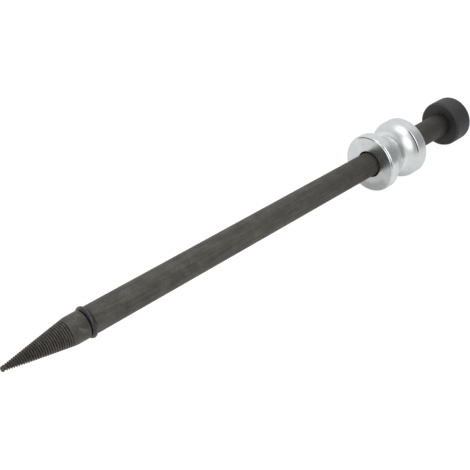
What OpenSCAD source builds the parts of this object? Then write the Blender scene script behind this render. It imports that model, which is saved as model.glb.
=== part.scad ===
// Slide hammer puller with a taper threaded tip that screws into a washer, sleeve or bush
// and is drawn out by driving the sliding weight against the end stop.
// The bar lies along X: the point of the tip is at the origin and the end stop is at +X.
// All sizes are in millimetres.

/* [Taper tip] */
// Length of the taper thread, from the point to the last tooth
thread_len = 38; // [30:0.5:60]
// Diameter that the taper thread would have at the very point
thread_point_d = 2.9; // [2.4:0.1:4]
// Diameter over the crests at the large end of the taper thread
thread_end_d = 15.3; // [13.5:0.1:15.6]
// Pitch of the single-start right-hand thread, 20 threads to the inch
thread_pitch = 1.27; // [1:0.01:1.6]
// Depth of the teeth at the point, from crest to root
tooth_depth = 0.8; // [0.4:0.02:0.8]
// Depth of the teeth at the large end, where their crests are broader
end_tooth_depth = 0.46; // [0.2:0.02:0.6]
// Length of the plain shoulder between the thread and the retaining ring
shoulder_len = 9.7; // [6:0.1:20]
// Diameter of the neck that the retaining ring is stretched over
neck_d = 12.4; // [11.6:0.1:13]
// Width of the groove between the shoulder and the bar
groove_w = 3.5; // [3.2:0.1:5]
// Diameter of the stud that holds the tip in the bar
stud_d = 10; // [8:0.5:10]
// Length of that stud
stud_len = 18; // [12:1:24]

/* [Retaining ring] */
// Thickness of the rubber ring's round section
ring_section = 3; // [2.6:0.1:3.1]

/* [Bar] */
// Diameter of the ground bar that the weight slides on
bar_d = 16; // [15.8:0.1:17]
// Length of the bar between the groove and the end stop
bar_len = 302.2; // [220:0.2:400]
// Diameter of the bar's rear spigot, which carries the end stop
spigot_d = 12; // [10:0.5:13]

/* [Sliding weight] */
// Length of the weight from face to face
weight_len = 36.8; // [36:0.2:48]
// Diameter of the weight's front flange
flange_d = 38.8; // [36:0.2:44]
// Length of the front flange at its rim
flange_len = 7.1; // [5:0.1:8]
// Diameter of the finger groove at its narrowest
waist_d = 24.8; // [22:0.2:26]
// Radius of the fillet between the flange and the finger groove
waist_r = 3.3; // [1:0.1:5]
// Radius of the small fillet at the foot of the swelling
foot_r = 0.8; // [0.4:0.1:2]
// Diameter of the land behind the swelling, the weight's greatest
land_d = 39.4; // [38.8:0.2:44]
// Length of that land
land_len = 8.9; // [5:0.1:10]
// Radius of the swelling's curve, from its own centre
swell_r = 11.6; // [11:0.1:12.5]
// Distance from the weight's front face to that centre
swell_x = 30.4; // [29.4:0.1:31]
// Radial clearance between the bar and the weight's bore
weight_clear = 0.9; // [0.3:0.05:0.95]
// Gap between the weight and the end stop where the weight lies
stop_gap = 40.6; // [0:0.2:200]

/* [End stop] */
// Diameter of the end stop
stop_d = 31.4; // [26:0.2:36]
// Length of the end stop
stop_len = 16.6; // [14:0.1:26]
// Length of the slow bevel at the end stop's front rim
stop_bevel_len = 2.2; // [0.6:0.1:4]
// How much that bevel takes off the end stop's radius
stop_bevel_drop = 0.7; // [0.3:0.1:2]
// Rounding of the end stop's back rim
stop_back_round = 3.4; // [0.4:0.1:5]

/* [Hidden] */
$fn = 96;

// Steps round one turn of the thread
turn_steps = 32;
// Widths of the flat root and of one flank at the point and at the large end, as shares of the
// pitch: the crests are sharp at the point and grow broad behind it
root_shares = [0.24, 0.15];
flank_shares = [0.36, 0.22];
// Turns over which the thread rises out of the point and runs out at its large end
rise_share = 0.7;
runout_share = 0.35;
// A fading tooth keeps this share of its depth
faint_share = 0.02;
// Where round the bar the thread starts, in degrees
start_angle = 5;
// Length of the rounded point in front of the thread
point_len = 0.9;
// Rings of the rounded point: place along it and radius there, as shares
point_shares = [[0, 0.42], [0.12, 0.66], [0.4, 0.88], [0.75, 0.985]];
// Plain cone between the last tooth and the shoulder
plain_cone_w = 0.5;
// How far the thread's core reaches into the shoulder
core_reach = 1.2;
// How much finer the core is than the cone where it enters the shoulder
core_step = 0.12;
// Length over which the shoulder swells to the bar's diameter
blend_len = 3;
// How much lower the shoulder's front edge lies than the bar's surface
blend_drop = 0.28;
// Edge break of the tip, the bar and the stud
edge_break = 0.3;
// Clearance round a screwed joint, drawn plain
screw_clear = 0.03;
// Free depth left behind the stud and behind the spigot
end_room = 1.5;
// How far the ring is stretched over its neck
ring_squeeze = 0.05;
// Chamfer of the flange's front rim
flange_chamfer = 1;
// Edge break of the flange's back rim
flange_break = 0.3;
// Chamfer at both mouths of the weight's bore
mouth_chamfer = 0.25;
// Edge break of the land's front rim
land_break = 0.25;
// Rounding of the land's back rim
land_round = 1.8;
// Chamfer at both mouths of the end stop's bore
stop_mouth = 0.5;
// Mouth and depth of the centre hole in the bar's rear end
centre_mouth_d = 3.6;
centre_depth = 2.4;
centre_pilot_d = 1.2;
// Overrun of a cut past the solid it is taken from
over = 1;

bar_r = bar_d / 2;
shoulder_x = thread_len + plain_cone_w;
neck_x = shoulder_x + shoulder_len;
bar_x = neck_x + groove_w;
stop_x = bar_x + bar_len;
weight_x = stop_x - stop_gap - weight_len;
spigot_len = stop_len - end_room;
ring_r = neck_d / 2 - ring_squeeze + ring_section / 2;
ring_x = bar_x - ring_section / 2;
bore_r = bar_r + weight_clear;
land_x = weight_len - land_len;
// The swelling's circle stays just under the land, and the foot's fillet touches it
swell_y = land_d / 2 - swell_r;
foot_y = waist_d / 2 + foot_r;
foot_x = swell_x - sqrt(pow(foot_r + swell_r, 2) - pow(foot_y - swell_y, 2));
foot_share = foot_r / (foot_r + swell_r);
join_x = foot_x + foot_share * (swell_x - foot_x);
join_y = foot_y + foot_share * (swell_y - foot_y);

// Whole turns of thread that fit behind the point
turns = floor((thread_len - point_len) / thread_pitch) - 1;
last_step = turns * turn_steps;
end_step = last_step + turn_steps;
first_x = thread_len - thread_pitch * (turns + 1);

// A value that goes from its size at the point to its size at the thread's large end
function along(from, to, x) = from + (to - from) * x / thread_len;
// Radius over the crests at x
function crest_r(x) = (thread_point_d + (thread_end_d - thread_point_d) * x / thread_len) / 2;
// Share of the full tooth depth at a step along the thread
function fade(step) =
    max(faint_share, min(1, step / turn_steps / rise_share,
                         (end_step - step) / turn_steps / runout_share));
// One point of the tooth form: p is 0 and 1 for the root's edges, 2 and 3 for the crest's
function tooth_point(step, p) =
    let (root_x = first_x + thread_pitch * step / turn_steps,
         depth = along(tooth_depth, end_tooth_depth, root_x) * fade(step),
         root = along(root_shares[0], root_shares[1], root_x),
         flank = along(flank_shares[0], flank_shares[1], root_x),
         x = root_x + thread_pitch * [0, root, root + flank, 1 - flank][p],
         r = crest_r(x) - [depth, depth, 0, 0][p],
         angle = start_angle + 360 * step / turn_steps)
    [r * cos(angle), r * sin(angle), x];
// A ring of points square to the axis
function ring_points(x, r) =
    [for (i = [0:turn_steps - 1])
        let (angle = start_angle + 360 * i / turn_steps)
        [r * cos(angle), r * sin(angle), x]];
// Two triangles for the four corners a, b, c and d
function two_faces(a, b, c, d) = [[a, d, c], [a, c, b]];

// Moves a shape drawn along Z to the place x along the bar
module along_bar(x = 0) {
    translate([x, 0, 0]) rotate([0, 90, 0]) children();
}

// A turned piece between two places along its axis, with chamfered rims
module turned(from, to, r, front = 0, back = 0) {
    rotate_extrude()
        polygon([[0, from], [r - front, from], [r, from + front],
                 [r, to - back], [r - back, to], [0, to]]);
}

// The taper thread with its rounded point, one closed skin that winds as one unbroken tooth
module taper_thread() {
    edge_count = 4;
    // The last turn has only its groove, so it lacks the crest's second edge
    tail_count = edge_count - 1;
    tail = edge_count * (last_step + 1);
    nose_rings = len(point_shares);
    nose = tail + tail_count * turn_steps;
    nose_tip = nose + nose_rings * turn_steps;
    core = nose_tip + 1;
    core_tip = core + turn_steps;
    core_x = shoulder_x + core_reach;

    // Index of edge p at a step; the edge after a turn's last one is the next turn's first
    function at(step, p) =
        p == edge_count ? at(step + turn_steps, 0)
        : step <= last_step ? edge_count * step + p
        : tail + tail_count * (step - last_step - 1) + p;
    function nose_at(k, i) = nose + k * turn_steps + i % turn_steps;
    function core_at(i) = core + i % turn_steps;

    points = concat(
        [for (step = [0:last_step], p = [0:edge_count - 1]) tooth_point(step, p)],
        [for (step = [last_step + 1:end_step], p = [0:tail_count - 1]) tooth_point(step, p)],
        [for (s = point_shares) each
            ring_points(first_x * s[0], crest_r(first_x) * s[1])],
        [[0, 0, 0]],
        ring_points(core_x, crest_r(shoulder_x) - core_step),
        [[0, 0, core_x]]);

    faces = concat(
        [for (step = [0:last_step - 1], p = [0:edge_count - 1]) each
            two_faces(at(step, p), at(step + 1, p), at(step + 1, p + 1), at(step, p + 1))],
        // The groove of the last turn
        [for (step = [last_step:end_step - 1], p = [0:tail_count - 2]) each
            two_faces(at(step, p), at(step + 1, p), at(step + 1, p + 1), at(step, p + 1))],
        // From the point's last ring to the thread's first edge
        [for (i = [0:turn_steps - 1]) each
            two_faces(nose_at(nose_rings - 1, i), nose_at(nose_rings - 1, i + 1),
                      at(i + 1, 0), at(i, 0))],
        [for (p = [0:edge_count - 1]) [nose_at(nose_rings - 1, 0), at(0, p), at(0, p + 1)]],
        // The rounded point
        [for (k = [0:nose_rings - 2], i = [0:turn_steps - 1]) each
            two_faces(nose_at(k, i), nose_at(k, i + 1), nose_at(k + 1, i + 1), nose_at(k + 1, i))],
        [for (i = [0:turn_steps - 1]) [nose_tip, nose_at(0, i), nose_at(0, i + 1)]],
        // From the groove's last edge to the core inside the shoulder
        [for (i = [0:turn_steps - 1]) each
            two_faces(at(last_step + i, tail_count - 1), at(last_step + i + 1, tail_count - 1),
                      core_at(i + 1), core_at(i))],
        [[core_at(0), at(last_step, edge_count - 1), at(last_step, tail_count - 1)],
         [core_at(0), at(end_step, 0), at(last_step, edge_count - 1)],
         [core_at(0), at(end_step, 1), at(end_step, 0)],
         [core_at(0), at(end_step, 2), at(end_step, 1)]],
        [for (i = [0:turn_steps - 1]) [core_tip, core_at(i + 1), core_at(i)]]);

    polyhedron(points, faces, convexity = 10);
}

// Hardened tip: taper thread, plain shoulder, neck for the ring and the stud that screws into the bar
module taper_tip() {
    blend_r = (pow(blend_len, 2) + pow(blend_drop, 2)) / (2 * blend_drop);
    color("#5d5c54") along_bar() {
        taper_thread();
        rotate_extrude() {
            // The swell from the thread's end up to the bar's diameter
            intersection() {
                translate([0, shoulder_x]) square([bar_r, blend_len]);
                translate([bar_r - blend_r, shoulder_x + blend_len]) circle(blend_r);
            }
            translate([0, shoulder_x + blend_len])
                square([bar_r, shoulder_len - blend_len - edge_break]);
            polygon([[0, neck_x - edge_break], [bar_r, neck_x - edge_break],
                     [bar_r - edge_break, neck_x], [0, neck_x]]);
            translate([0, neck_x]) square([neck_d / 2, groove_w]);
        }
        turned(bar_x, bar_x + stud_len, stud_d / 2, 0, edge_break);
    }
}

// Rubber ring that keeps the weight on the bar
module retaining_ring() {
    color("#29242b") along_bar(ring_x)
        rotate_extrude()
            translate([ring_r, 0]) circle(ring_section / 2);
}

// Ground bar with a socket for the tip's stud and a spigot for the end stop
module bar() {
    color("#4a4641") along_bar() difference() {
        union() {
            turned(bar_x, stop_x, bar_r, edge_break, 0);
            turned(stop_x, stop_x + spigot_len, spigot_d / 2, 0, edge_break);
        }
        translate([0, 0, bar_x - over])
            cylinder(h = over + stud_len + end_room, r = stud_d / 2 + screw_clear);
        // Centre hole that the bar was turned between
        translate([0, 0, stop_x + spigot_len - centre_depth])
            cylinder(h = centre_depth + over, r = centre_pilot_d / 2);
        translate([0, 0, stop_x + spigot_len - centre_mouth_d / 2])
            cylinder(h = centre_mouth_d / 2, r1 = 0, r2 = centre_mouth_d / 2);
    }
}

// Half outline of the weight: radius across, place along the bar up
module weight_outline() {
    land_r = land_d / 2;
    flange_r = flange_d / 2;
    core_r = waist_d / 2;
    // Sleeve round the bore, with chamfered mouths
    polygon([[bore_r + mouth_chamfer, 0], [core_r, 0], [core_r, weight_len],
             [bore_r + mouth_chamfer, weight_len], [bore_r, weight_len - mouth_chamfer],
             [bore_r, mouth_chamfer]]);
    // Front flange
    polygon([[core_r - edge_break, 0], [flange_r - flange_chamfer, 0],
             [flange_r, flange_chamfer], [flange_r, flange_len - flange_break],
             [flange_r - flange_break, flange_len], [core_r - edge_break, flange_len]]);
    // Fillet of the finger groove at the flange
    difference() {
        translate([core_r - edge_break, flange_len - edge_break])
            square(waist_r + edge_break);
        translate([core_r + waist_r, flange_len + waist_r]) circle(waist_r);
    }
    // Fillet of the finger groove at the foot of the swelling
    difference() {
        polygon([[core_r - edge_break, foot_x], [core_r, foot_x], [join_y, join_x],
                 [core_r - edge_break, join_x]]);
        translate([foot_y, foot_x]) circle(foot_r);
    }
    // Swelling, which runs a little way under the land
    intersection() {
        translate([core_r - edge_break, join_x - edge_break])
            square([land_r - core_r + edge_break, land_x + 2 * land_break - join_x + edge_break]);
        translate([swell_y, swell_x]) circle(swell_r);
    }
    // Land with a fine front edge and a rounded back rim
    polygon([[core_r - edge_break, land_x], [land_r - land_break, land_x],
             [land_r, land_x + land_break], [land_r, weight_len - land_round],
             [land_r - land_round, weight_len - land_round],
             [land_r - land_round, weight_len], [core_r - edge_break, weight_len]]);
    translate([land_r - land_round, weight_len - land_round]) circle(land_round);
}

// Sliding weight, a turned spool with a flange, a finger groove and a ball-like swelling
module slide_weight() {
    color("#cdd2d2") along_bar(weight_x)
        rotate_extrude() weight_outline();
}

// End stop, a round knob on the bar's spigot, bevelled in front and rounded behind
module end_stop() {
    stop_r = stop_d / 2;
    front_r = stop_r - stop_bevel_drop;
    shoulder_y = stop_len - stop_back_round;
    color("#444443") along_bar(stop_x) difference() {
        rotate_extrude() {
            polygon([[0, 0], [front_r - edge_break, 0], [front_r, edge_break],
                     [stop_r, stop_bevel_len], [stop_r, shoulder_y],
                     [stop_r - stop_back_round, shoulder_y],
                     [stop_r - stop_back_round, stop_len], [0, stop_len]]);
            translate([stop_r - stop_back_round, shoulder_y]) circle(stop_back_round);
        }
        translate([0, 0, -over])
            cylinder(h = stop_len + 2 * over, r = spigot_d / 2 + screw_clear);
        translate([0, 0, stop_len - stop_mouth])
            cylinder(h = stop_mouth + screw_clear,
                     r1 = spigot_d / 2 + screw_clear,
                     r2 = spigot_d / 2 + 2 * screw_clear + stop_mouth);
    }
}

taper_tip();
retaining_ring();
bar();
slide_weight();
end_stop();
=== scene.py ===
"""Looks of a slide hammer puller: a phosphated bar with a taper threaded tip, a rubber ring,
a zinc-plated spool weight that slides along the bar, and a blackened end stop.

The bar lies along X with the point of the tip at the origin. Outlines are written in
millimetres as (place along the bar, radius) and turned round the bar's axis.
"""

import math

import bpy
import bmesh
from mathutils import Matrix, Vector


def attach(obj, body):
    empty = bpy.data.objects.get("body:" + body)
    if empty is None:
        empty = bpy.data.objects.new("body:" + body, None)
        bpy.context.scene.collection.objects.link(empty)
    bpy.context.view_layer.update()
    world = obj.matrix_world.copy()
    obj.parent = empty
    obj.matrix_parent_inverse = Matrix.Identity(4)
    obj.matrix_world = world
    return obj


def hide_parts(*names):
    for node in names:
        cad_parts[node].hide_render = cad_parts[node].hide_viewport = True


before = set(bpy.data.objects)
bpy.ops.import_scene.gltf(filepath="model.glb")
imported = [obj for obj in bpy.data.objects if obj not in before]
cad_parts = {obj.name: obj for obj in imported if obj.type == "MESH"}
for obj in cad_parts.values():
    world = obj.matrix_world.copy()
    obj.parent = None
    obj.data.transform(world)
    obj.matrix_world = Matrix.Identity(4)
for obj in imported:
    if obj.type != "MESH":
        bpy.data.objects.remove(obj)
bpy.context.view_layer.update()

MM = 0.001
# The oil that phosphate and black oxide hold refracts light as most oils do
OIL_IOR = 1.5

# Sizes that the finer pieces share with the solids they stand for, in millimetres
BAR_R = 8.0
BAR_FRONT, BAR_END = 51.7, 353.9
POINT_R, THREAD_R, THREAD_LEN, THREAD_PITCH = 1.45, 7.65, 38.0, 1.27
SHOULDER_FRONT, SHOULDER_BLEND, NECK_FRONT = 38.5, 3.0, 48.2
NECK_R, STUD_R, STUD_END = 6.2, 5.0, 69.7
RING_PLACE, RING_R, RING_SECTION_R = 50.2, 7.65, 1.5
WEIGHT_FRONT, WEIGHT_BACK = 276.5, 313.3
BORE_R, FLANGE_R, WAIST_R, LAND_R = 8.9, 19.4, 12.4, 19.7
STOP_BACK, STOP_R, STOP_BORE_R = 370.5, 15.7, 6.03

# The thread: full turns, the degrees from +Y at which it starts, and the turns over which the
# tooth grows in at the point and runs out at the shoulder
THREAD_TURNS, THREAD_START = 28, 5.0
GROW_IN, RUN_OUT = 0.7, 0.35
# Share of the tooth's depth that is left at its two ends, so that no face shrinks to nothing
LEAST_TOOTH = 0.02
# The tooth's depth in millimetres and its root and flank as shares of the pitch, each at the
# point and at the shoulder, and the most that the crest's rounded edge takes in millimetres
TOOTH_DEPTH, ROOT_SHARE, FLANK_SHARE = (0.8, 0.46), (0.24, 0.15), (0.36, 0.22)
CREST_EDGE = 0.06
# Edges of the tooth's form from one root to the crest behind it
GROOVE_EDGES = 4
# Rounded point of the tip, as shares of its own length and of the first crest's radius
NOSE = ((0, 0.3), (0.03, 0.46), (0.12, 0.66), (0.3, 0.84), (0.55, 0.94), (0.8, 0.985))

# The weight along the bar: back of its flange, foot of its groove, front of its land
FLANGE_BACK, GROOVE_FOOT, LAND_FRONT = (WEIGHT_FRONT + x for x in (7.1, 19.7, 28.2))
FLANGE_FILLET_R, LAND_RIM_R, STOP_RIM_R = 3.3, 1.8, 3.4
# Clearance between the weight and the floor
FLOOR_GAP = 0.1
# The swelling's circle: centre along the bar and out from it, radius, and angle at the land
SWELL_PLACE, SWELL_OUT, SWELL_R, SWELL_END = WEIGHT_FRONT + 30.4, 8.1, 11.6, -11.4
# The turning tool's feed and the depth of its marks on the faces of the weight and the end
# stop, and the directions in which a turned surface can face
FACE_FEED, WEIGHT_MARKS, STOP_MARKS = 0.9, 0.025, 0.02
TO_FRONT, TO_BACK, OUTWARD = (-1, 0), (1, 0), (0, 1)


def arc(place, height, radius, start, end, steps):
    """Points on an arc, with angles in degrees: 0 points out from the bar, 90 along it."""
    points = []
    for i in range(steps + 1):
        a = math.radians(start + (end - start) * i / steps)
        points.append((place + radius * math.sin(a), height + radius * math.cos(a)))
    return points


def cutter_marks(start, end, feed, depth, facing):
    """A straight cut from start to end with the shallow scallops that a lathe tool leaves, each
    feed wide and depth deep. facing is the surface's direction: along the bar, and out."""
    count = max(1, round(math.dist(start, end) / feed))
    points = [start]
    for i in range(2 * count - 1):
        t = (i + 1) / (2 * count)
        low = depth * (1 - i % 2)
        points.append((start[0] + (end[0] - start[0]) * t - facing[0] * low,
                       start[1] + (end[1] - start[1]) * t - facing[1] * low))
    return points + [end]


def finished(name, bm, sharp):
    """Makes a piece of a mesh, smooth except where two faces meet at more than sharp degrees."""
    bmesh.ops.recalc_face_normals(bm, faces=bm.faces)
    mesh = bpy.data.meshes.new(name)
    bm.to_mesh(mesh)
    bm.free()
    mesh.shade_smooth()
    mesh.set_sharp_from_angle(angle=math.radians(sharp))
    piece = bpy.data.objects.new(name, mesh)
    bpy.context.collection.objects.link(piece)
    return piece


def turned_ring(bm, place, radius, steps, first=0.0):
    """A ring of vertices round the bar, whose first one lies first degrees from +Y."""
    return [bm.verts.new((place * MM,
                          radius * MM * math.cos(math.radians(first + 360 * i / steps)),
                          radius * MM * math.sin(math.radians(first + 360 * i / steps))))
            for i in range(steps)]


def skin(bm, low, high):
    """Faces between two rings with as many vertices."""
    for i in range(len(low)):
        j = (i + 1) % len(low)
        bm.faces.new((low[i], low[j], high[j], high[i]))


def turned(name, outline, steps, sharp=24):
    """Turns a closed outline round the bar's axis, which makes a bored piece."""
    bm = bmesh.new()
    rings = [turned_ring(bm, x, r, steps) for x, r in outline]
    for low, high in zip(rings, rings[1:] + rings[:1]):
        skin(bm, low, high)
    return finished(name, bm, sharp)


def crest_radius(x):
    """Radius over the taper thread's crests."""
    return POINT_R + (THREAD_R - POINT_R) * x / THREAD_LEN


def tooth_form(x, fullness):
    """The tooth that starts at x, from one root to the next: points as (distance along the bar,
    depth below the crests). It is deep and sharp at the point and grows shallow and broad up
    the cone. Its depth is cut to the share fullness."""
    depth, root, flank = (at_point + (at_shoulder - at_point) * x / THREAD_LEN
                          for at_point, at_shoulder in (TOOTH_DEPTH, ROOT_SHARE, FLANK_SHARE))
    depth, root, flank = depth * fullness, root * THREAD_PITCH, flank * THREAD_PITCH
    rim = min(CREST_EDGE, (THREAD_PITCH - root - 2 * flank) / 3)
    return [(0, depth), (root, depth), (root + 0.8 * flank, 0.2 * depth),
            (root + flank, 0.04 * depth), (root + flank + rim, 0),
            (THREAD_PITCH - flank - rim, 0), (THREAD_PITCH - flank, 0.04 * depth),
            (THREAD_PITCH - 0.8 * flank, 0.2 * depth)]


def shoulder_outline():
    """Outline of the tip behind the thread: cone, swell up to the shoulder, neck and stud."""
    cone_end = SHOULDER_FRONT - 0.1
    out = [(cone_end, crest_radius(cone_end))]
    out += [(SHOULDER_FRONT + SHOULDER_BLEND * t, BAR_R - 0.28 * (1 - t) ** 2)
            for t in (0, 0.15, 0.3, 0.5, 0.75, 1)]
    out += [(NECK_FRONT - 0.3, BAR_R), (NECK_FRONT - 0.08, BAR_R - 0.08),
            (NECK_FRONT, BAR_R - 0.3), (NECK_FRONT, NECK_R), (BAR_FRONT, NECK_R),
            (BAR_FRONT, STUD_R), (STUD_END, STUD_R)]
    return out


def thread_cut(name, steps=112):
    """The tip: one right-hand tooth wound up the cone, its rounded point, shoulder and neck."""
    first = THREAD_LEN - THREAD_PITCH * (THREAD_TURNS + 1)
    last = THREAD_TURNS * steps
    bm = bmesh.new()

    def tooth(step):
        """Vertices of the tooth's form at one step of the winding."""
        x = first + THREAD_PITCH * step / steps
        fullness = max(LEAST_TOOTH, min(1.0, step / steps / GROW_IN,
                                        (last + steps - step) / steps / RUN_OUT))
        a = math.radians(THREAD_START) + math.tau * step / steps
        return [bm.verts.new(((x + u) * MM, (crest_radius(x + u) - d) * MM * math.cos(a),
                              (crest_radius(x + u) - d) * MM * math.sin(a)))
                for u, d in tooth_form(x, fullness)]

    rows = [tooth(step) for step in range(last + 1)]
    edges = len(rows[0])
    # The last turn keeps only its groove
    tail = []
    for step in range(last + 1, last + steps + 1):
        verts = tooth(step)
        tail.append(verts[:GROOVE_EDGES + 1])
        for vert in verts[GROOVE_EDGES + 1:]:
            bm.verts.remove(vert)

    def edge(step, p):
        """Vertex p of the form, where the one past its end is the next turn's first."""
        if p == edges:
            return edge(step + steps, 0)
        return rows[step][p] if step <= last else tail[step - last - 1][p]

    for step in range(last + steps):
        for p in range(edges if step < last else GROOVE_EDGES):
            bm.faces.new((edge(step, p), edge(step + 1, p),
                          edge(step + 1, p + 1), edge(step, p + 1)))

    # Rounded point in front of the first turn
    nose = [turned_ring(bm, first * s, crest_radius(first) * q, steps, THREAD_START)
            for s, q in NOSE]
    point = bm.verts.new((0, 0, 0))
    for i in range(steps):
        j = (i + 1) % steps
        bm.faces.new((point, nose[0][j], nose[0][i]))
        bm.faces.new((nose[-1][i], nose[-1][j], edge(i + 1, 0), edge(i, 0)))
    for low, high in zip(nose, nose[1:]):
        skin(bm, low, high)
    for p in range(edges):
        bm.faces.new((nose[-1][0], edge(0, p), edge(0, p + 1)))

    back = [turned_ring(bm, x, r, steps, THREAD_START) for x, r in shoulder_outline()]
    end = bm.verts.new((STUD_END * MM, 0, 0))
    for i in range(steps):
        j = (i + 1) % steps
        bm.faces.new((edge(last + i, GROOVE_EDGES), edge(last + i + 1, GROOVE_EDGES),
                      back[0][j], back[0][i]))
        bm.faces.new((back[-1][i], back[-1][j], end))
    for low, high in zip(back, back[1:]):
        skin(bm, low, high)
    # Closes the seam where the last turn's groove meets the turn before it
    for p in range(GROOVE_EDGES, edges):
        bm.faces.new((back[0][0], edge(last, p + 1), edge(last, p)))
    for p in range(GROOVE_EDGES):
        bm.faces.new((back[0][0], edge(last + steps, p + 1), edge(last + steps, p)))
    return finished(name, bm, sharp=30)


def moulded_ring(name):
    """Rubber ring with the faint parting line that its mould leaves round the outside."""
    section = arc(RING_PLACE, RING_R, RING_SECTION_R, -180, -4, 30)
    section += [(RING_PLACE, RING_R + RING_SECTION_R + 0.03)]
    section += arc(RING_PLACE, RING_R, RING_SECTION_R, 4, 176, 30)
    return turned(name, section, steps=192, sharp=40)


def weight_outline():
    """Outline of the spool weight, from the bore's front mouth round the outside and back."""
    f, b = WEIGHT_FRONT, WEIGHT_BACK
    out = [(f + 0.25, BORE_R), (f + 0.08, BORE_R + 0.1), (f, BORE_R + 0.25)]
    out += cutter_marks((f, BORE_R + 0.5), (f, FLANGE_R - 1.4), FACE_FEED, WEIGHT_MARKS,
                        TO_FRONT)
    # Front rim: two narrow bevels with a fine groove between them
    out += [(f, FLANGE_R - 0.8), (f + 0.42, FLANGE_R - 0.5), (f + 0.62, FLANGE_R - 0.56),
            (f + 0.86, FLANGE_R - 0.52), (f + 1.34, FLANGE_R - 0.2), (f + 1.52, FLANGE_R - 0.02)]
    out += cutter_marks((f + 1.7, FLANGE_R), (FLANGE_BACK - 0.6, FLANGE_R), 1.6, 0.08, OUTWARD)
    out += [(FLANGE_BACK - 0.46, FLANGE_R - 0.02), (FLANGE_BACK - 0.16, FLANGE_R - 0.22),
            (FLANGE_BACK, FLANGE_R - 0.5)]
    # Finger groove with a fillet behind the flange and a sharp foot, then the swelling
    out += arc(FLANGE_BACK + FLANGE_FILLET_R, WAIST_R + FLANGE_FILLET_R, FLANGE_FILLET_R,
               270, 180, 16)
    foot = math.degrees(math.acos((WAIST_R - SWELL_OUT) / SWELL_R))
    out += arc(SWELL_PLACE, SWELL_OUT, SWELL_R, -foot, SWELL_END, 38)
    # Land, left as the tool turned it, with a fine cut and a bevel in front
    out += [(LAND_FRONT, LAND_R - 0.46), (LAND_FRONT + 0.4, LAND_R - 0.06),
            (LAND_FRONT + 0.46, LAND_R - 0.01)]
    out += cutter_marks((LAND_FRONT + 0.7, LAND_R), (b - LAND_RIM_R, LAND_R), 1.2, 0.09, OUTWARD)
    out += arc(b - LAND_RIM_R, LAND_R - LAND_RIM_R, LAND_RIM_R, 8, 90, 10)
    out += cutter_marks((b, LAND_R - 2.3), (b, BORE_R + 0.5), FACE_FEED, WEIGHT_MARKS, TO_BACK)
    out += [(b, BORE_R + 0.25), (b - 0.08, BORE_R + 0.1), (b - 0.25, BORE_R)]
    return out


def stop_outline():
    """Outline of the end stop, faced front and back, from its bore round the outside."""
    f, b = BAR_END, STOP_BACK
    out = [(f, STOP_BORE_R)]
    out += cutter_marks((f, BAR_R + 0.2), (f, STOP_R - 2.2), FACE_FEED, STOP_MARKS, TO_FRONT)
    # Slow bevel in front
    out += [(f, STOP_R - 1.08), (f + 0.08, STOP_R - 0.86), (f + 0.3, STOP_R - 0.68),
            (f + 2.0, STOP_R - 0.06), (f + 2.25, STOP_R)]
    out += cutter_marks((f + 2.3, STOP_R), (b - STOP_RIM_R - 0.3, STOP_R), 0.9, 0.03, OUTWARD)
    out += arc(b - STOP_RIM_R, STOP_R - STOP_RIM_R, STOP_RIM_R, 3, 90, 12)
    out += cutter_marks((b, STOP_R - 3.7), (b, STOP_BORE_R + 0.77), FACE_FEED, STOP_MARKS,
                        TO_BACK)
    out += [(b, STOP_BORE_R + 0.5), (b - 0.5, STOP_BORE_R)]
    return out


def linear(hex_colour):
    """sRGB hex to the linear colour that shaders take."""
    parts = [int(hex_colour[i:i + 2], 16) / 255 for i in (1, 3, 5)]
    return [c / 12.92 if c <= 0.04045 else ((c + 0.055) / 1.055) ** 2.4 for c in parts] + [1.0]


def add(tree, kind, inputs=None, stops=(), **settings):
    """Adds one node and returns its outputs. Inputs are values, hex colours or sockets to link.
    Stops are a colour ramp's places with their hex colours or grey levels, and settings are the
    node's own properties."""
    node = tree.nodes.new(kind)
    for key, value in settings.items():
        setattr(node, key, value)
    for key, value in (inputs or {}).items():
        if isinstance(value, bpy.types.NodeSocket):
            tree.links.new(value, node.inputs[key])
        else:
            node.inputs[key].default_value = linear(value) if isinstance(value, str) else value
    if stops:
        elements = node.color_ramp.elements
        while len(elements) < len(stops):
            elements.new(1.0)
        for element, (place, colour) in zip(elements, stops):
            element.position = place
            element.color = linear(colour) if isinstance(colour, str) else [colour] * 3 + [1.0]
    return node.outputs


def new_material(name):
    """An empty material and its node tree."""
    material = bpy.data.materials.new(name)
    material.use_nodes = True
    tree = material.node_tree
    tree.nodes.clear()
    return material, tree


def surface(tree, inputs):
    """Ends a material with the shader that has these inputs."""
    shader = add(tree, "ShaderNodeBsdfPrincipled", inputs)["BSDF"]
    add(tree, "ShaderNodeOutputMaterial", {"Surface": shader})


def mottle(tree, place, size_mm, detail=3.0, rough=0.6, stretch=(1, 1, 1)):
    """Random patches about size_mm across, or longer along a stretched axis."""
    scale = tuple(1 / (s * size_mm * MM) for s in stretch)
    scaled = add(tree, "ShaderNodeVectorMath", {0: place, 1: scale}, operation="MULTIPLY")[0]
    return add(tree, "ShaderNodeTexNoise", {"Vector": scaled, "Scale": 1.0, "Detail": detail,
                                            "Roughness": rough})["Fac"]


def turning_marks(tree, r, x, width_mm):
    """Rings about width_mm wide, as a lathe tool leaves them all round a piece."""
    ring = add(tree, "ShaderNodeCombineXYZ", {0: x, 1: r})[0]
    # r and x are in millimetres already, so the metres that mottle expects are taken out
    return mottle(tree, ring, width_mm / MM, 2.0)


def blended(tree, *patterns):
    """Even blend of two or more patterns."""
    total = patterns[0]
    for pattern in patterns[1:]:
        total = add(tree, "ShaderNodeMath", {0: total, 1: pattern}, operation="ADD")[0]
    return add(tree, "ShaderNodeMath", {0: total, 1: 1 / len(patterns)},
               operation="MULTIPLY")[0]


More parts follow.
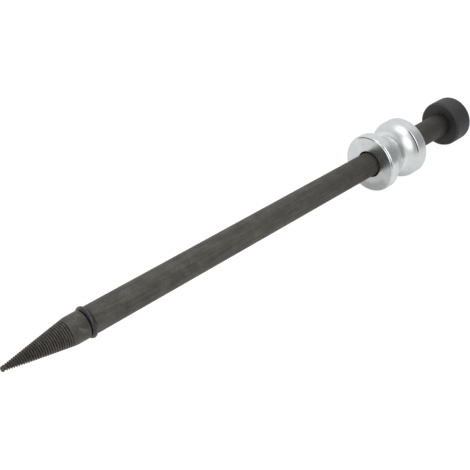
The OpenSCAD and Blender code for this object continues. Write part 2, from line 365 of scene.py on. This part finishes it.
def tinted(tree, coat, colour, along, near, far, fade="SMOOTHSTEP"):
    """A coat with a colour over it. near and far are two values of along, each with the
    colour's share there, which stays the same beyond them."""
    share = add(tree, "ShaderNodeMapRange",
                {"Value": along, "From Min": near[0], "From Max": far[0], "To Min": near[1],
                 "To Max": far[1]}, interpolation_type=fade)["Result"]
    return add(tree, "ShaderNodeMix", {"Factor": share, "A": coat, "B": colour},
               data_type="RGBA")["Result"]


def radius_mm(tree, place):
    """Distance from the bar's axis and place along it, both in millimetres."""
    parts = add(tree, "ShaderNodeSeparateXYZ", {0: place})
    across = add(tree, "ShaderNodeCombineXYZ", {1: parts["Y"], 2: parts["Z"]})[0]
    radius = add(tree, "ShaderNodeVectorMath", {0: across}, operation="LENGTH")["Value"]
    return (add(tree, "ShaderNodeMath", {0: radius, 1: 1 / MM}, operation="MULTIPLY")[0],
            add(tree, "ShaderNodeMath", {0: parts["X"], 1: 1 / MM}, operation="MULTIPLY")[0])


def phosphated_bar(name):
    """Manganese phosphate over ground steel, oiled: a dark grey-brown coat with a fine crystal
    grain, slightly cloudy, worn in faint streaks along the bar where the weight has run."""
    material, tree = new_material(name)
    place = add(tree, "ShaderNodeTexCoord")["Object"]
    clouds = mottle(tree, place, 9.0)
    streaks = mottle(tree, place, 1.4, stretch=(16, 1, 1))
    # Crystals are some 0.02 mm wide, drawn at 0.5 mm so that a grain shows at all
    grain = mottle(tree, place, 0.5, 2.0, 0.7)
    tone = blended(tree, clouds, streaks, grain)
    coat = add(tree, "ShaderNodeValToRGB", {"Fac": tone},
               stops=[(0.38, "#302d28"), (0.5, "#403d37"), (0.62, "#524f48")])["Color"]
    # Painted shade darkens the coat towards the end stop, where less light falls, and darker
    # painted shade fills the corner against it
    x = radius_mm(tree, place)[1]
    coat = tinted(tree, coat, "#211e1a", x, (150, 0), (330, 0.7))
    coat = tinted(tree, coat, "#0e0c09", x, (BAR_END - 10, 0), (BAR_END - 0.5, 0.8))
    rough = add(tree, "ShaderNodeValToRGB", {"Fac": tone}, stops=[(0.35, 0.68), (0.65, 0.54)])
    bump = add(tree, "ShaderNodeBump", {"Height": grain, "Strength": 0.25, "Distance": 0.03 * MM})
    surface(tree, {"Base Color": coat, "Roughness": rough["Color"], "IOR": OIL_IOR,
                   "Normal": bump["Normal"]})
    return material


def phosphated_tip(name):
    """Hardened tool steel with a phosphate coat: greenish grey and mottled on the shoulder. Oil
    and painted shade lie dark in the thread, whose crests are rubbed brown, with a painted
    highlight along their bare edges."""
    material, tree = new_material(name)
    place = add(tree, "ShaderNodeTexCoord")["Object"]
    r, x = radius_mm(tree, place)
    blotches = mottle(tree, place, 3.2, 4.0, 0.65)
    grain = mottle(tree, place, 0.45, 2.0, 0.7)
    shoulder = add(tree, "ShaderNodeValToRGB", {"Fac": blotches},
                   stops=[(0.34, "#2f2e29"), (0.5, "#393731"), (0.62, "#45433b"),
                          (0.72, "#645f55")])["Color"]
    # Depth below the thread's crests in millimetres, made uneven where the wear ends
    crest = add(tree, "ShaderNodeMath", {0: x, 1: (THREAD_R - POINT_R) / THREAD_LEN, 2: POINT_R},
                operation="MULTIPLY_ADD")[0]
    depth = add(tree, "ShaderNodeMath", {0: crest, 1: r}, operation="SUBTRACT")[0]
    worn = add(tree, "ShaderNodeMath", {0: grain, 1: 0.05, 2: depth},
               operation="MULTIPLY_ADD")[0]
    # Coloured by depth: oil and painted shade make the grooves near-black, and the light line
    # below each crest is partly worn bare metal and partly a painted highlight
    cut = add(tree, "ShaderNodeValToRGB", {"Fac": worn},
              stops=[(0.0, "#2b2722"), (0.03, "#38332c"), (0.05, "#716759"),
                     (0.09, "#15120f"), (0.17, "#030303")])["Color"]
    # Rubbed to brown in places, and caked black in others
    wear = mottle(tree, place, 2.6)
    cut = tinted(tree, cut, "#51463a", wear, (0.48, 0), (0.66, 0.35), "LINEAR")
    cut = tinted(tree, cut, "#0b0908", wear, (0.3, 0.6), (0.46, 0), "LINEAR")
    # Towards the point the oil is wiped off and the grooves are brown
    cut = tinted(tree, cut, "#3e372f", x, (4, 0.6), (16, 0), "LINEAR")
    # The thread's colour ends with its last groove
    steel = tinted(tree, cut, shoulder, x, (THREAD_LEN - 0.5, 0), (THREAD_LEN + 0.7, 1),
                   "LINEAR")
    rough = add(tree, "ShaderNodeValToRGB", {"Fac": blotches}, stops=[(0.3, 0.55), (0.7, 0.42)])
    bump = add(tree, "ShaderNodeBump", {"Height": grain, "Strength": 0.3, "Distance": 0.03 * MM})
    surface(tree, {"Base Color": steel, "Roughness": rough["Color"], "IOR": OIL_IOR,
                   "Normal": bump["Normal"]})
    return material


def band(tree, distance, middle, full, reach):
    """1 where distance is within full of middle, fading to 0 at reach."""
    off = add(tree, "ShaderNodeMath", {0: distance, 1: middle}, operation="SUBTRACT")[0]
    off = add(tree, "ShaderNodeMath", {0: off}, operation="ABSOLUTE")[0]
    return add(tree, "ShaderNodeMapRange", {"Value": off, "From Min": full, "From Max": reach,
                                            "To Min": 1.0, "To Max": 0.0},
               interpolation_type="SMOOTHSTEP")["Result"]


def painted_shade_band(tree, place, distance, middle, reach, side, spread):
    """Share of a painted shade: a band round a turned piece where distance is within reach of
    middle. It fades out round the bar, spread degrees away from the side that is side degrees
    above -Y."""
    a = math.radians(side)
    off_axis = add(tree, "ShaderNodeVectorMath", {0: place, 1: (0, -math.cos(a), math.sin(a))},
                   operation="DOT_PRODUCT")["Value"]
    # Metres towards that side over millimetres from the axis: MM times the angle's cosine
    share = add(tree, "ShaderNodeMath", {0: off_axis, 1: radius_mm(tree, place)[0]},
                operation="DIVIDE")[0]
    sector = add(tree, "ShaderNodeMapRange",
                 {"Value": share, "From Min": MM * math.cos(math.radians(spread)),
                  "From Max": MM * math.cos(math.radians(0.6 * spread))},
                 interpolation_type="SMOOTHSTEP")["Result"]
    line = band(tree, distance, middle, 0.5 * reach, reach)
    return add(tree, "ShaderNodeMath", {0: line, 1: sector}, operation="MULTIPLY")[0]


def zinc_plate(name):
    """Bright zinc over turned steel: a light, slightly cool metal, softly blurred, whose fine
    circular cutter marks stretch each highlight across them. Bands of painted shade and light lie
    round it, and the bore is near-black with oil and painted shade."""
    material, tree = new_material(name)
    place = add(tree, "ShaderNodeTexCoord")["Object"]
    r, x = radius_mm(tree, place)
    haze = mottle(tree, place, 5.0, 4.0, 0.65)
    # Marks of the cutting edge, a few hundredths of a millimetre apart, drawn at 0.3 mm
    marks = turning_marks(tree, r, x, 0.3)
    tone = blended(tree, haze, marks)
    plate = add(tree, "ShaderNodeValToRGB", {"Fac": tone},
                stops=[(0.3, "#c2c5c5"), (0.5, "#cdd0d0"), (0.7, "#d8dada")])["Color"]

    # Painted shadow of the flange darkens the groove just behind it, and painted light lifts the
    # shade at the foot of the groove
    behind = add(tree, "ShaderNodeMath", {0: x, 1: FLANGE_BACK + 0.05},
                 operation="GREATER_THAN")[0]
    painted_flange_shadow = add(tree, "ShaderNodeMapRange",
               {"Value": x, "From Min": FLANGE_BACK + 0.9, "From Max": FLANGE_BACK + 4.9,
                "To Min": 0.7, "To Max": 0.0}, interpolation_type="SMOOTHSTEP")["Result"]
    painted_flange_shadow = add(tree, "ShaderNodeMath", {0: painted_flange_shadow, 1: behind}, operation="MULTIPLY")[0]
    painted_light_and_shade = [(painted_flange_shadow, "#7d7f7f"), (band(tree, x, GROOVE_FOOT, 0.8, 1.9), "#dfe1e1")]
    # Painted shade darkens the near side of the cut in front of the land and of the groove in the
    # rim, and, more faintly, the near side of the finger groove and its foot
    for middle, reach, side, spread, colour in (
            (LAND_FRONT - 0.4, 0.6, 41, 28, "#34363a"),
            (WEIGHT_FRONT + 0.74, 0.34, 40, 30, "#34363a"),
            (WEIGHT_FRONT + 13.3, 3.2, 45, 42, "#b9bcbc"),
            (GROOVE_FOOT, 1.4, 32, 26, "#c2c4c3")):
        painted_light_and_shade.append((painted_shade_band(tree, place, x, middle, reach, side, spread), colour))
    # On the front face painted shade lies along the top of the rim, and painted shade dulls the
    # lower side
    face = add(tree, "ShaderNodeMath", {0: x, 1: WEIGHT_FRONT + 1.0}, operation="LESS_THAN")[0]
    for middle, reach, side, spread, colour in ((FLANGE_R - 1.0, 0.36, 103, 26, "#2b2a29"),
                                                (FLANGE_R - 0.9, 7.0, -68, 50, "#b2b5b4")):
        painted_mark = painted_shade_band(tree, place, r, middle, reach, side, spread)
        painted_mark = add(tree, "ShaderNodeMath", {0: painted_mark, 1: face}, operation="MULTIPLY")[0]
        painted_light_and_shade.append((painted_mark, colour))
    for share, colour in painted_light_and_shade:
        plate = add(tree, "ShaderNodeMix", {"Factor": share, "A": plate, "B": colour},
                    data_type="RGBA")["Result"]
    # The bore is near-black: oily steel and painted shade in the narrow gap round the bar
    plate = tinted(tree, "#1c1b1a", plate, r, (BORE_R + 0.05, 0), (BORE_R + 0.3, 1), "LINEAR")

    # The finger groove keeps a film of oil and shines least. What lies behind it, scuffed by
    # the hand, shines a little less than the flange
    gloss = add(tree, "ShaderNodeValToRGB", {"Fac": tone}, stops=[(0.3, 0.3), (0.7, 0.21)])
    filmed = add(tree, "ShaderNodeMapRange",
                 {"Value": x, "From Min": GROOVE_FOOT - 0.5, "From Max": GROOVE_FOOT + 0.9,
                  "To Min": 1.0, "To Max": 0.0}, interpolation_type="SMOOTHSTEP")["Result"]
    filmed = add(tree, "ShaderNodeMath", {0: filmed, 1: behind}, operation="MULTIPLY")[0]
    rough = add(tree, "ShaderNodeMath", {0: filmed, 1: 0.28, 2: gloss["Color"]},
                operation="MULTIPLY_ADD")[0]
    held = add(tree, "ShaderNodeMath", {0: x, 1: GROOVE_FOOT + 0.3},
               operation="GREATER_THAN")[0]
    rough = add(tree, "ShaderNodeMath", {0: held, 1: 0.08, 2: rough},
                operation="MULTIPLY_ADD")[0]
    around = add(tree, "ShaderNodeTangent", direction_type="RADIAL", axis="X")
    bump = add(tree, "ShaderNodeBump", {"Height": marks, "Strength": 0.12, "Distance": 0.02 * MM})
    surface(tree, {"Base Color": plate, "Metallic": 1.0, "Roughness": rough,
                   "Anisotropic": 0.4, "Tangent": around["Tangent"], "Normal": bump["Normal"]})
    return material


def blackened_steel(name):
    """Black oxide on turned steel: a neutral near-black satin with the metal's grey in it."""
    material, tree = new_material(name)
    place = add(tree, "ShaderNodeTexCoord")["Object"]
    r, x = radius_mm(tree, place)
    # The cutter's marks, finer than a tenth of a millimetre, are drawn at 0.35 mm
    tone = blended(tree, mottle(tree, place, 8.0, 4.0), turning_marks(tree, r, x, 0.35))
    oxide = add(tree, "ShaderNodeValToRGB", {"Fac": tone},
                stops=[(0.3, "#191919"), (0.5, "#202020"), (0.7, "#292928")])["Color"]
    # Painted shade darkens the corner round the bar
    oxide = tinted(tree, oxide, "#090806", r, (BAR_R, 0.85), (BAR_R + 3.6, 0))
    rough = add(tree, "ShaderNodeValToRGB", {"Fac": tone}, stops=[(0.3, 0.6), (0.7, 0.5)])
    surface(tree, {"Base Color": oxide, "Roughness": rough["Color"], "IOR": OIL_IOR})
    return material


def nitrile_rubber(name):
    """Moulded black nitrile rubber: smooth, with a close bluish shine and a trace of dust."""
    material, tree = new_material(name)
    place = add(tree, "ShaderNodeTexCoord")["Object"]
    rubber = add(tree, "ShaderNodeValToRGB", {"Fac": mottle(tree, place, 1.1)},
                 stops=[(0.36, "#09080b"), (0.52, "#151217"), (0.68, "#322d35")])
    surface(tree, {"Base Color": rubber["Color"], "Roughness": 0.3, "IOR": 1.52})
    return material


def dress(piece, material):
    """Gives a piece its one material."""
    piece.data.materials.clear()
    piece.data.materials.append(material)


def pale_floor(height, half_width, glow, mirrored_glow):
    """A white floor just under the weight. Most of the white that the camera sees is the
    floor's own glow, so the shadow on it is faint. Mirrors show more of the shadow."""
    material, tree = new_material("white_floor")
    ray = add(tree, "ShaderNodeLightPath")
    paint = add(tree, "ShaderNodeMix",
                {"Factor": ray["Is Camera Ray"], "A": "#e1e1e1", "B": "#808080"},
                data_type="RGBA")["Result"]
    mirrored = add(tree, "ShaderNodeMath", {0: ray["Is Glossy Ray"], 1: mirrored_glow},
                   operation="MULTIPLY")[0]
    seen = add(tree, "ShaderNodeMath", {0: ray["Is Camera Ray"], 1: glow, 2: mirrored},
               operation="MULTIPLY_ADD")[0]
    surface(tree, {"Base Color": paint, "Roughness": 1.0, "Specular IOR Level": 0.0,
                   "Emission Color": "#ffffff", "Emission Strength": seen})
    mesh = bpy.data.meshes.new("floor")
    s = half_width
    mesh.from_pydata([(-s, -s, height), (s, -s, height), (s, s, height), (-s, s, height)],
                     [], [(0, 1, 2, 3)])
    floor = bpy.data.objects.new("floor", mesh)
    bpy.context.collection.objects.link(floor)
    dress(floor, material)


def direction(azimuth, elevation):
    """Unit vector in the direction given by two angles in degrees."""
    a, e = math.radians(azimuth), math.radians(elevation)
    return Vector((math.cos(e) * math.cos(a), math.cos(e) * math.sin(a), math.sin(e)))


def softbox(name, aim, azimuth, elevation, distance, width, height, radiance):
    """An even white panel that faces aim from a direction; white paper is radiance 1."""
    light = bpy.data.lights.new(name, "AREA")
    light.shape = "RECTANGLE"
    light.size, light.size_y = width, height
    light.energy = radiance * math.pi * width * height
    lamp = bpy.data.objects.new(name, light)
    bpy.context.collection.objects.link(lamp)
    side = direction(azimuth, elevation)
    lamp.location = Vector(aim) + distance * side
    lamp.rotation_mode = "QUATERNION"
    lamp.rotation_quaternion = (-side).to_track_quat("-Z", "Y")


def dimmed(tree, place, side, outer, inner, level):
    """1 all round, but level inside inner degrees of one direction, softly from outer on."""
    facing = add(tree, "ShaderNodeVectorMath", {0: place, 1: tuple(side)},
                 operation="DOT_PRODUCT")["Value"]
    return add(tree, "ShaderNodeMapRange",
               {"Value": facing, "From Min": math.cos(math.radians(outer)),
                "From Max": math.cos(math.radians(inner)), "To Min": 1.0, "To Max": level},
               interpolation_type="SMOOTHSTEP")["Result"]


def white_room(strength, dim):
    """Even white light from all sides. The camera sees plain white, and so do mirrors, but for
    the open side of the room and the set round the front softbox, which they show dim."""
    world = bpy.data.worlds.new("white_room")
    bpy.context.scene.world = world
    world.use_nodes = True
    tree = world.node_tree
    tree.nodes.clear()
    place = add(tree, "ShaderNodeTexCoord")["Generated"]
    opening = dimmed(tree, place, direction(-60, 18), outer=51, inner=31, level=dim)
    beside = dimmed(tree, place, direction(-176, 38), outer=25, inner=11, level=dim)
    # Below the front softbox: low down, and on the softbox's own side of the room
    height = add(tree, "ShaderNodeSeparateXYZ", {0: place})["Z"]
    low = add(tree, "ShaderNodeMapRange", {"Value": height, "From Min": 0.26, "From Max": 0.44,
                                           "To Min": 1.0, "To Max": 0.0},
              interpolation_type="SMOOTHSTEP")["Result"]
    near = add(tree, "ShaderNodeVectorMath", {0: place, 1: tuple(direction(-112, 0))},
               operation="DOT_PRODUCT")["Value"]
    near = add(tree, "ShaderNodeMapRange", {"Value": near, "From Min": 0.2, "From Max": 0.42},
               interpolation_type="SMOOTHSTEP")["Result"]
    below = add(tree, "ShaderNodeMath", {0: low, 1: near}, operation="MULTIPLY")[0]
    below = add(tree, "ShaderNodeMath", {0: below, 1: dim - 1, 2: 1.0},
                operation="MULTIPLY_ADD")[0]
    shown = opening
    for part in (beside, below):
        shown = add(tree, "ShaderNodeMath", {0: shown, 1: part}, operation="MINIMUM")[0]

    ray = add(tree, "ShaderNodeLightPath")
    mirrored = add(tree, "ShaderNodeMath",
                   {0: ray["Is Glossy Ray"], 1: ray["Is Transmission Ray"]},
                   operation="MAXIMUM")[0]
    level = add(tree, "ShaderNodeMix", {"Factor": mirrored, "A": strength, "B": shown},
                data_type="FLOAT")["Result"]
    level = add(tree, "ShaderNodeMix", {"Factor": ray["Is Camera Ray"], "A": level, "B": 1.0},
                data_type="FLOAT")["Result"]
    light = add(tree, "ShaderNodeBackground", {"Color": "#ffffff", "Strength": level})
    add(tree, "ShaderNodeOutputWorld", {"Surface": light["Background"]})


dress(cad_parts["bar"], phosphated_bar("manganese_phosphated_bar"))

tip = thread_cut("taper_tip_cut")
dress(tip, phosphated_tip("phosphated_tool_steel_tip"))
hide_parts("taper_tip")
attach(tip, "bar")

ring = moulded_ring("retaining_ring_moulded")
dress(ring, nitrile_rubber("nitrile_rubber"))
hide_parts("retaining_ring")
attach(ring, "bar")

weight = turned("slide_weight_turned", weight_outline(), steps=256)
dress(weight, zinc_plate("bright_zinc_plate"))
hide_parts("slide_weight")
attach(weight, "slide_weight")

stop = turned("end_stop_turned", stop_outline(), steps=192)
dress(stop, blackened_steel("black_oxide_steel"))
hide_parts("end_stop")
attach(stop, "bar")

pale_floor(height=-(LAND_R + FLOOR_GAP) * MM, half_width=6.0, glow=0.9, mirrored_glow=0.28)
white_room(strength=0.75, dim=0.42)
# Both softboxes face a place on the bar a little in front of the weight
AIM = (0.25, 0, 0)
softbox("front_softbox", AIM, azimuth=-127, elevation=34.5, distance=1.2, width=1.2,
        height=0.92, radiance=1.3)
softbox("top_softbox", AIM, azimuth=90, elevation=86, distance=1.2, width=0.85,
        height=0.85, radiance=1.25)

# The camera, fitted to the photo's outlines of the bar and rims of the weight and end stop
lens = bpy.data.cameras.new("camera")
lens.sensor_width = 36.0
lens.lens = 66.82
lens.clip_start, lens.clip_end = 0.01, 50.0
camera = bpy.data.objects.new("camera", lens)
bpy.context.collection.objects.link(camera)
camera.location = (-0.124531, -0.297215, 0.301286)
camera.rotation_mode = "QUATERNION"
camera.rotation_quaternion = Vector((0.553618, 0.587708, -0.590005)).to_track_quat("-Z", "Y")
bpy.context.scene.camera = camera
bpy.context.scene.view_settings.view_transform = "Standard"
